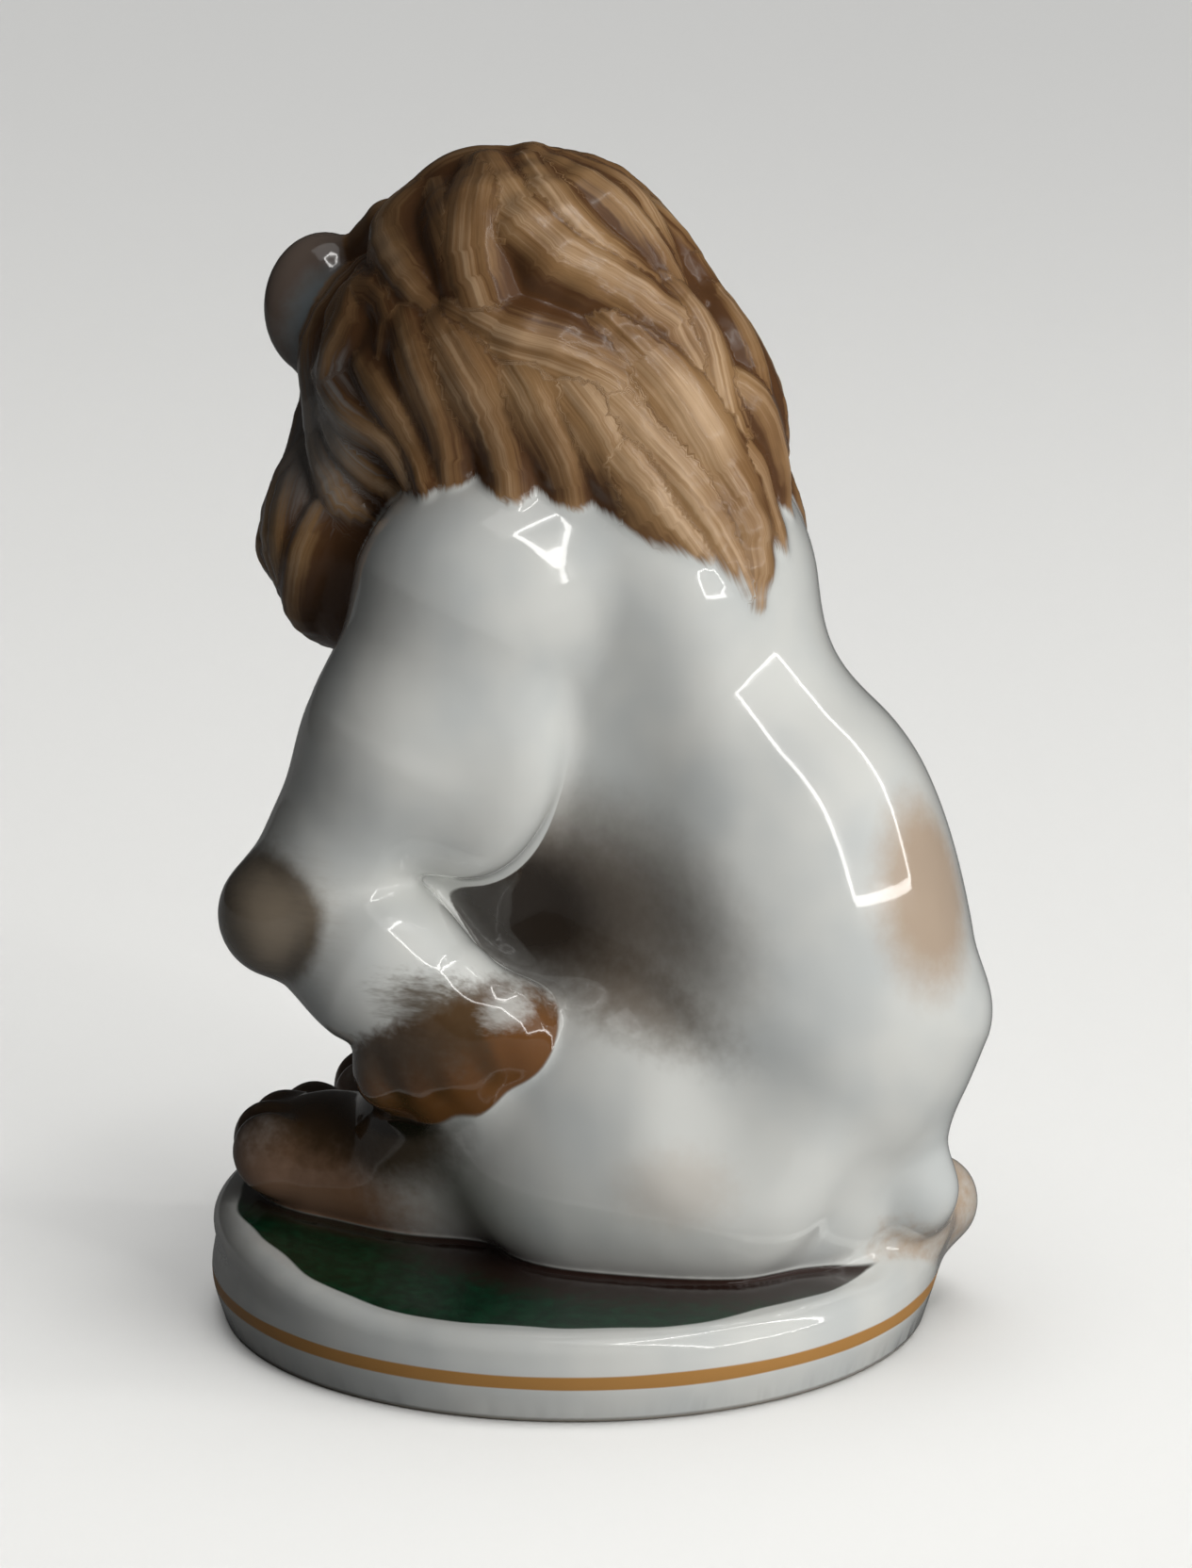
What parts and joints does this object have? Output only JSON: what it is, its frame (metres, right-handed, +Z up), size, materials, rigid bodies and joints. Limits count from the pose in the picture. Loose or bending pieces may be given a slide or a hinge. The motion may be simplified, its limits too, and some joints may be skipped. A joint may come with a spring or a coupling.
{
  "type": "lion figurine",
  "caption": "Glazed porcelain lion sitting upright on its haunches with forepaws on its thighs and head turned, on a low round base.",
  "frame": {"origin": "centre of the base's flat underside", "axes": "+Z up, the lion's body looks along -Y, its left side is +X"},
  "size_m": [0.1, 0.108, 0.1586],
  "materials": {
    "glazed_porcelain": "clear glossy glaze over painted porcelain, unglazed foot ring"
  },
  "bodies": {
    "root": {"lion_figurine": "glazed_porcelain"}
  },
  "joints": []
}
